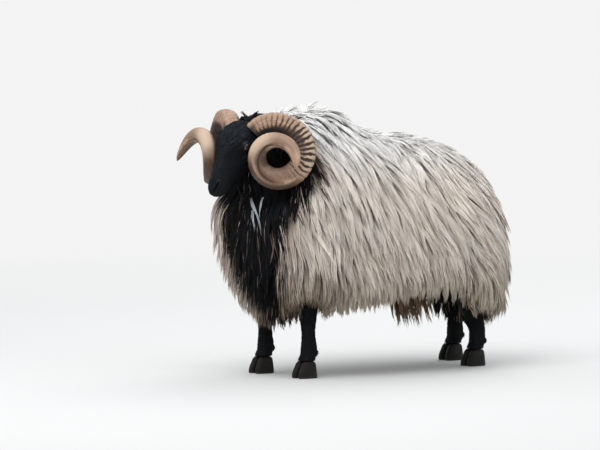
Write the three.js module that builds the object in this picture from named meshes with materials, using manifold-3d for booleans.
// A horned heath ram, life size, standing still with its head turned a little to its left.
// Millimetres, +Z up. The ram faces -Y and its own left side is +X. The fleece is part of every
// outline, so the trunk and neck reach out to the tips of the wool.
import * as THREE from "three";
import { mergeVertices } from "three/addons/utils/BufferGeometryUtils.js";
import Module from "manifold-3d";

const wasm = await Module();
wasm.setup();

// ---------- driving dimensions ----------
const GAP = 0.3; // clearance left between neighbouring pieces

const TRUNK_LENGTH = 885;
const TRUNK_BLUNTNESS = 4; // how square the trunk is in plan at chest and rump
const CHEST_BLUNTNESS = 2.7; // how square it is from the side in front
const RUMP_BLUNTNESS = 4; // and behind
const TRUNK_SIDES = 28;
const TRUNK_RINGS = 24;
const CHEST_CLOSES_AT = 440; // height at which the trunk closes in front
const RUMP_CLOSES_AT = 285; // and behind

const FORE_STANCE = { halfWidth: 98, leftAlong: -275, rightAlong: -275 };
const HIND_STANCE = { halfWidth: 90, leftAlong: 333, rightAlong: 398 };
const SOLE = 46; // height of a hoof from sole to coronet

const TAIL_AT = new THREE.Vector3(0, 392, 560); // where the tail leaves the rump
const TAIL_LENGTH = 250;
const TAIL_BEND = 58; // how far it arches out on its way down

const HEAD_AT = new THREE.Vector3(12, -405, 712); // back of the skull
const HEAD_TURN = THREE.MathUtils.degToRad(8); // to the ram's left
const HEAD_BOW = THREE.MathUtils.degToRad(45); // nose below level
const HEAD_LENGTH = 245;
const HEAD_RINGS = 20;
const MOUTH_LENGTH = 78; // from the lips back along the jaw
const MOUTH_DEPTH = 45; // from the axis of the head down to the mouth line
const EYE_RADIUS = 14;
const EYE_PLACE = new THREE.Vector3(47, -91, 7); // in the head's own frame

const HORN_TURN = THREE.MathUtils.degToRad(535); // all the way from root to tip
const HORN_START = THREE.MathUtils.degToRad(140); // where on the coil the horn leaves the skull
const HORN_FLATNESS = 0.86; // thickness along the coil's axis over width across it
const HORN_SIDES = 12;
const HORN_RINGS = 40;

// ---------- shape helpers ----------

// Reads rows of [place, value, value, ...] as one smooth curve through them.
function smoothThrough(rows) {
  const places = rows.map((row) => row[0]);
  const curve = new THREE.CubicInterpolant(
    places,
    rows.flatMap((row) => row.slice(1)),
    rows[0].length - 1,
  );
  const last = places[places.length - 1];
  return (place) =>
    Array.from(curve.evaluate(THREE.MathUtils.clamp(place, places[0], last)));
}

// Places from low to high, crowded towards both ends, where a body rounds off.
function roundedPlaces(low, high, count) {
  return Array.from({ length: count }, (_, i) => {
    const share = (1 - Math.cos((Math.PI * (i + 0.35)) / (count - 0.3))) / 2;
    return THREE.MathUtils.lerp(low, high, share);
  });
}

function evenPlaces(low, high, count) {
  return Array.from({ length: count }, (_, i) =>
    THREE.MathUtils.lerp(low, high, i / (count - 1)),
  );
}

// A rounded section: half width, height above and depth below the centre, and how square each half is.
function sectionPoints(sides, halfWidth, above, below, squareTop = 2, squareBottom = squareTop) {
  return Array.from({ length: sides }, (_, i) => {
    const angle = (2 * Math.PI * i) / sides;
    const square = Math.sin(angle) > 0 ? squareTop : squareBottom;
    const power = (value) => Math.sign(value) * Math.abs(value) ** (2 / square);
    const height = power(Math.sin(angle));
    return [halfWidth * power(Math.cos(angle)), height * (height > 0 ? above : below)];
  });
}

// Lays a section's points in space, from its centre and its two directions.
function placeRing(points, centre, across, up) {
  return points.map(([x, y]) =>
    centre.clone().addScaledVector(across, x).addScaledVector(up, y),
  );
}

// A closed surface through a row of rings, with a fan over each end.
function loft(rings) {
  const sides = rings[0].length;
  const middleOf = (ring) =>
    ring.reduce((sum, p) => sum.add(p), new THREE.Vector3()).divideScalar(sides);
  const points = [...rings.flat(), middleOf(rings[0]), middleOf(rings[rings.length - 1])];
  const [startCentre, endCentre] = [points.length - 2, points.length - 1];
  const lastRing = (rings.length - 1) * sides;
  const index = [];
  for (let i = 0; i < sides; i++) {
    const next = (i + 1) % sides;
    for (let r = 0; r < rings.length - 1; r++) {
      const [a, b] = [r * sides + i, r * sides + next];
      index.push(a, b, a + sides, b, b + sides, a + sides);
    }
    index.push(startCentre, next, i);
    index.push(endCentre, lastRing + i, lastRing + next);
  }
  return new THREE.BufferGeometry().setFromPoints(points).setIndex(index);
}

// A geometry as a solid that booleans can use, turned right side out if need be.
function solidOf(geometry) {
  const bare = geometry.clone();
  bare.deleteAttribute("normal");
  bare.deleteAttribute("uv");
  const merged = mergeVertices(bare, 1e-4);
  const vertProperties = new Float32Array(merged.attributes.position.array);
  const make = (triVerts) =>
    new wasm.Manifold(new wasm.Mesh({ numProp: 3, vertProperties, triVerts }));
  const triangles = new Uint32Array(merged.index.array);
  const solid = make(triangles);
  return solid.volume() > 0 ? solid : make(triangles.reverse());
}

// A solid back as a geometry: its largest body, without crumbs that a cut may leave.
function geometryOf(solid) {
  const bodies = solid.decompose().sort((a, b) => b.volume() - a.volume());
  const mesh = bodies[0].getMesh();
  return new THREE.BufferGeometry()
    .setAttribute("position", new THREE.BufferAttribute(mesh.vertProperties, 3))
    .setIndex(new THREE.BufferAttribute(mesh.triVerts, 1));
}

function partOf(parent, name, solid, material) {
  const geometry = geometryOf(solid);
  geometry.computeVertexNormals();
  const mesh = new THREE.Mesh(geometry, material.clone());
  mesh.name = name;
  parent.add(mesh);
  return mesh;
}

const cutBy = (solid, rooms) => rooms.reduce((left, room) => left.subtract(room), solid);
const mirrorX = new THREE.Matrix4().makeScale(-1, 1, 1);

// ---------- materials ----------
const finish = (color, roughness) =>
  new THREE.MeshStandardMaterial({ color, roughness, metalness: 0 });
const greyFleece = finish(0xc9c1b9, 0.95);
const blackCoat = finish(0x17181b, 0.8);
const hornSheath = finish(0xc3a58a, 0.6);
const hoofHorn = finish(0x2a2522, 0.5);
const eyeball = finish(0x6b4a1e, 0.1);

// ---------- trunk ----------

// How much of its full section is left near an end of the trunk.
const endRounding = (share, bluntness) =>
  Math.max(1 - Math.abs(share) ** bluntness, 0) ** (1 / bluntness);

// [along, half width, top, bottom, height of the widest part, squareness of the underside]
const trunkAt = smoothThrough([
  [-445, 246, 600, 185, 440, 1.7],
  [-390, 243, 632, 96, 430, 1.6],
  [-335, 238, 672, 62, 415, 1.5],
  [-280, 233, 722, 104, 395, 1.9],
  [-210, 230, 758, 152, 385, 2.4],
  [-120, 232, 744, 152, 375, 2.6],
  [-20, 238, 681, 168, 370, 2.6],
  [90, 242, 670, 180, 365, 2.6],
  [200, 241, 656, 190, 355, 2.8],
  [250, 238, 648, 184, 345, 3],
  [300, 235, 639, 156, 332, 3],
  [345, 231, 630, 104, 318, 2.7],
  [390, 227, 620, 60, 308, 2.4],
  [445, 222, 606, 36, 300, 2.4],
]);

function trunkSolid(grow = 0) {
  const half = TRUNK_LENGTH / 2;
  const rings = roundedPlaces(-half - grow, half + grow, TRUNK_RINGS).map((along) => {
    const share = along / (half + grow);
    const [halfWidth, top, bottom, widest, squareBottom] = trunkAt(along);
    const closes = along < 0 ? CHEST_CLOSES_AT : RUMP_CLOSES_AT;
    const upright = endRounding(share, along < 0 ? CHEST_BLUNTNESS : RUMP_BLUNTNESS);
    const middle = THREE.MathUtils.lerp(closes, widest, upright);
    const above = (top - closes) * upright + closes - middle + grow;
    const below = middle - closes + (closes - bottom) * upright + grow;
    const wide = halfWidth * endRounding(share, TRUNK_BLUNTNESS) + grow;
    const section = sectionPoints(TRUNK_SIDES, wide, above, below, 2.1, squareBottom);
    const centre = new THREE.Vector3(0, along, middle);
    return placeRing(section, centre, new THREE.Vector3(1, 0, 0), new THREE.Vector3(0, 0, 1));
  });
  return solidOf(loft(rings));
}

// ---------- head frame ----------

// The head and all that grows on it are drawn with the nose along -Y and the crown towards +Z.
const headGroup = new THREE.Group();
headGroup.position.copy(HEAD_AT);
headGroup.rotation.set(HEAD_BOW, 0, HEAD_TURN, "ZYX");
headGroup.updateMatrix();

const outOfHead = (solid) => solid.transform(headGroup.matrix.toArray());
const intoHead = (solid) => solid.transform(headGroup.matrix.clone().invert().toArray());

// ---------- head, with the woolly tuft between the horns ----------

// [distance from the back of the skull, half width, crown line, throat line, squareness]
const headAt = smoothThrough([
  [0, 52, 22, -62, 2.1],
  [35, 62, 42, -92, 2.3],
  [70, 66, 46, -102, 2.5],
  [105, 60, 42, -94, 2.5],
  [135, 49, 33, -82, 2.5],
  [165, 40, 22, -73, 2.5],
  [195, 36, 11, -67, 2.5],
  [220, 35, 1, -64, 2.5],
  [245, 32, -10, -54, 2.5],
]);

function headSolid(grow = 0) {
  const back = 14; // how far the back of the skull bulges behind the frame
  const nape = 20; // where the back of the skull starts to round off
  const lips = 200; // where the muzzle starts to round off
  const rings = roundedPlaces(-back - grow, HEAD_LENGTH + grow, HEAD_RINGS).map((reach) => {
    const [halfWidth, crown, throat, square] = headAt(reach);
    const behind = endRounding(Math.max(nape - reach, 0) / (nape + back + grow + 0.5), 2);
    const infront = endRounding(Math.max(reach - lips, 0) / (HEAD_LENGTH - lips + grow + 0.5), 2.6);
    const left = Math.max(behind * infront, 0.12);
    const middle = (crown + throat) / 2;
    const tall = ((crown - throat) / 2) * left + grow;
    const section = sectionPoints(20, halfWidth * left + grow, tall, tall, square);
    const centre = new THREE.Vector3(0, -reach, middle);
    return placeRing(section, centre, new THREE.Vector3(1, 0, 0), new THREE.Vector3(0, 0, 1));
  });
  const tuft = new THREE.SphereGeometry(1, 12, 8);
  tuft.scale(38 + grow, 40 + grow, 26 + grow).translate(0, 18, -3);
  return solidOf(loft(rings)).add(solidOf(tuft));
}

// A block that holds the lower jaw, from the mouth line down.
function jawBlock(grow = 0) {
  const height = 80;
  const block = new THREE.BoxGeometry(120, MOUTH_LENGTH + 2 * grow, height + 2 * grow);
  block.translate(0, MOUTH_LENGTH / 2 - HEAD_LENGTH - 10, -MOUTH_DEPTH - height / 2);
  return solidOf(block);
}

// ---------- eyes ----------
function eyeSolid(side, grow = 0) {
  const ball = new THREE.SphereGeometry(EYE_RADIUS + grow, 12, 8);
  ball.translate(side * EYE_PLACE.x, EYE_PLACE.y, EYE_PLACE.z);
  return solidOf(ball);
}

// ---------- ears ----------

// A leaf-shaped ear that hangs out sideways through the core of the horn's coil.
function earSolid(side, grow = 0) {
  const root = new THREE.Vector3(46, -14, -14);
  const tip = new THREE.Vector3(146, -38, -62);
  const outward = tip.clone().sub(root).normalize();
  const broad = new THREE.Vector3(0, 0.64, 0.77).cross(outward).normalize().cross(outward);
  const thin = broad.clone().cross(outward);
  const rings = evenPlaces(0.02, 0.985, 9).map((share) => {
    const halfWidth = 4 + 18 * Math.sin(Math.PI * share ** 0.8) ** 0.9;
    const halfThick = 7 - 4 * share;
    const centre = root.clone().lerp(tip, share);
    const section = sectionPoints(12, halfWidth + grow, halfThick + grow, halfThick + grow);
    return placeRing(section, centre, broad, thin);
  });
  const leaf = loft(rings);
  return solidOf(side > 0 ? leaf : leaf.applyMatrix4(mirrorX));
}

// ---------- horns ----------

// The coil's axis points out and forward. Its two other directions point back and up the skull.
const coilAxis = new THREE.Vector3(0.693, -0.451, 0.562).normalize();
const coilUp = new THREE.Vector3(-0.055, 0.745, 0.665).normalize();
const coilBack = coilUp.clone().cross(coilAxis);
const coilCentre = new THREE.Vector3(84, -41, -56);

// [share of the horn, radius of the coil, way out along its axis, half thickness]
const hornAt = smoothThrough([
  [0, 72, 0, 30],
  [0.12, 72, 22, 32],
  [0.262, 80, 36, 32.5],
  [0.43, 73, 45, 30],
  [0.598, 52, 61, 25],
  [0.766, 42, 90, 21],
  [0.9, 47, 122, 17],
  [0.965, 53, 138, 10.5],
  [1, 58, 146, 3],
]);

function hornSpine(share) {
  const [radius, reach] = hornAt(share);
  const angle = HORN_START - HORN_TURN * share;
  return coilCentre
    .clone()
    .addScaledVector(coilBack, 8 * share + radius * Math.cos(angle))
    .addScaledVector(coilUp, -25 * share + radius * Math.sin(angle))
    .addScaledVector(coilAxis, reach);
}

function hornSolid(side, grow = 0) {
  const step = 1e-3;
  const rings = evenPlaces(0, 1, HORN_RINGS).map((share) => {
    const centre = hornSpine(share);
    const along = hornSpine(share + step).sub(hornSpine(share - step)).normalize();
    const thin = coilAxis.clone().addScaledVector(along, -coilAxis.dot(along)).normalize();
    const outward = along.clone().cross(thin);
    const half = hornAt(share)[2] + grow;
    const section = sectionPoints(HORN_SIDES, half, half * HORN_FLATNESS, half * HORN_FLATNESS, 2.4);
    return placeRing(section, centre, outward, thin);
  });
  const horn = loft(rings);
  return solidOf(side > 0 ? horn : horn.applyMatrix4(mirrorX));
}

// ---------- neck ----------

// [share, sideways, along, height, half width, above, below]
const neckAt = smoothThrough([
  [0, 0, -130, 560, 150, 150, 150],
  [0.3, 3, -215, 600, 150, 148, 150],
  [0.6, 8, -300, 632, 136, 120, 135],
  [0.85, 12, -362, 650, 116, 94, 112],
  [1, 16, -398, 655, 92, 66, 96],
]);

function neckSolid() {
  const tilt = THREE.MathUtils.degToRad(24);
  const up = new THREE.Vector3(0, Math.sin(tilt), Math.cos(tilt));
  const rings = evenPlaces(0, 1, 10).map((share) => {
    const [sideways, along, height, halfWidth, above, below] = neckAt(share);
    const centre = new THREE.Vector3(sideways, along, height);
    const section = sectionPoints(20, halfWidth, above, below, 2.1);
    return placeRing(section, centre, new THREE.Vector3(1, 0, 0), up);
  });
  return solidOf(loft(rings));
}

// ---------- legs ----------

// A leg from the coronet up into the wool: [height, sideways, along, half width, half depth].
function legSolid(x, y, side, rows) {
  const legAt = smoothThrough(rows);
  const low = rows[0][0];
  const high = rows[rows.length - 1][0];
  const rings = evenPlaces(low, high, 14).map((height) => {
    const [sideways, along, halfWidth, halfDepth] = legAt(height);
    const centre = new THREE.Vector3(x + side * sideways, y + along, height);
    const section = sectionPoints(12, halfWidth, halfDepth, halfDepth, 2.2);
    return placeRing(section, centre, new THREE.Vector3(1, 0, 0), new THREE.Vector3(0, 1, 0));
  });
  return [-1, 1].reduce((leg, which) => {
    const dewclaw = new THREE.SphereGeometry(8, 7, 5).scale(0.8, 0.9, 1.3);
    dewclaw.translate(x + which * 12, y + 27, 70);
    return leg.add(solidOf(dewclaw));
  }, solidOf(loft(rings)));
}

const CORONET = SOLE + GAP;
const foreLegRows = [
  [CORONET, 0, 0, 26, 24],
  [66, 0, 6, 21, 20],
  [84, 0, 9, 22, 22],
  [108, 0, 8, 18.5, 19],
  [150, 0, 6, 18.5, 19],
  [185, 0, 4, 22, 22],
  [212, 0, 2, 27, 26],
  [245, 2, 4, 25, 27],
  [300, 4, 10, 36, 40],
];
const hindLegRows = [
  [CORONET, 0, 0, 25, 24],
  [66, 0, 6, 21, 20],
  [84, 0, 9, 22, 23],
  [108, 0, 8, 18.5, 21],
  [170, 1, 7, 19, 23],
  [210, 1, 7, 23, 28],
  [240, 2, 0, 25, 33],
  [270, 3, -16, 28, 38],
  [320, 4, -52, 38, 52],
];

// One of the two claws of a cloven hoof, flat under its sole, drawn below a leg at the origin.
function clawSolid(which) {
  const rows = [
    [0, 15, 0, 12, 31],
    [14, 14.5, 0, 12.4, 30],
    [32, 13.5, 3, 12, 25],
    [SOLE, 13, 5, 11.2, 20],
  ];
  const clawAt = smoothThrough(rows);
  const rings = evenPlaces(0, SOLE, 5).map((height) => {
    const [sideways, along, halfWidth, halfLength] = clawAt(height);
    const centre = new THREE.Vector3(which * sideways, along - 6, height);
    const section = sectionPoints(12, halfWidth, halfLength, halfLength, 2.5);
    return placeRing(section, centre, new THREE.Vector3(1, 0, 0), new THREE.Vector3(0, 1, 0));
  });
  return solidOf(loft(rings));
}

// ---------- tail, hanging close to the rump in its wool ----------
function tailSolid() {
  const rings = evenPlaces(0, 1, 9).map((share) => {
    const out = Math.sin((Math.PI / 2) * Math.min(share * 1.25, 1));
    const centre = new THREE.Vector3(0, TAIL_AT.y + TAIL_BEND * out, TAIL_AT.z - TAIL_LENGTH * share);
    const size = endRounding(0.96 * (2 * share - 1), 3);
    const section = sectionPoints(14, 46 * size, 30 * size, 30 * size, 2.3);
    return placeRing(section, centre, new THREE.Vector3(1, 0, 0), new THREE.Vector3(0, 1, 0));
  });
  return solidOf(loft(rings));
}

// ---------- assembly ----------
const ram = new THREE.Group();
ram.add(headGroup);

const sides = [["left", 1], ["right", -1]];
const trunkRoom = trunkSolid(GAP);
const headRoom = headSolid(GAP);
const hornRooms = sides.map(([, side]) => hornSolid(side, GAP));
const earRooms = sides.map(([, side]) => earSolid(side, GAP));
const eyeRooms = sides.map(([, side]) => eyeSolid(side, GAP));
const headgearRooms = [...hornRooms, ...earRooms].map(outOfHead);

partOf(ram, "trunk", cutBy(trunkSolid(), headgearRooms), greyFleece);
partOf(ram, "tail", tailSolid().subtract(trunkRoom), greyFleece);
partOf(ram, "neck", cutBy(neckSolid(), [trunkRoom, outOfHead(headRoom), ...headgearRooms]), greyFleece);

const skull = cutBy(headSolid(), [intoHead(trunkRoom), ...eyeRooms]);
partOf(headGroup, "head", skull.subtract(jawBlock(GAP)), blackCoat);
partOf(headGroup, "jaw", skull.intersect(jawBlock()), blackCoat);
sides.forEach(([name, side], i) => {
  partOf(headGroup, "eye_" + name, eyeSolid(side), eyeball);
  partOf(headGroup, "ear_" + name, cutBy(earSolid(side), [headRoom, hornRooms[i]]), blackCoat);
  partOf(headGroup, "horn_" + name, hornSolid(side).subtract(headRoom), hornSheath);
});

const legs = [
  ["fore_left", 1, FORE_STANCE.halfWidth, FORE_STANCE.leftAlong, foreLegRows],
  ["fore_right", -1, FORE_STANCE.halfWidth, FORE_STANCE.rightAlong, foreLegRows],
  ["hind_left", 1, HIND_STANCE.halfWidth, HIND_STANCE.leftAlong, hindLegRows],
  ["hind_right", -1, HIND_STANCE.halfWidth, HIND_STANCE.rightAlong, hindLegRows],
];
for (const [name, side, halfWidth, along, rows] of legs) {
  const x = side * halfWidth;
  partOf(ram, "leg_" + name, legSolid(x, along, side, rows).subtract(trunkRoom), blackCoat);
  for (const [claw, which] of [["outer", side], ["inner", -side]]) {
    partOf(ram, ["claw", name, claw].join("_"), clawSolid(which), hoofHorn).position.set(x, along, 0);
  }
}

// The origin is the middle of the ram's own box, on the ground between its feet.
const box = new THREE.Box3().setFromObject(ram, true);
const middle = box.getCenter(new THREE.Vector3());
ram.position.set(-middle.x, -middle.y, -box.min.z);

export default ram;
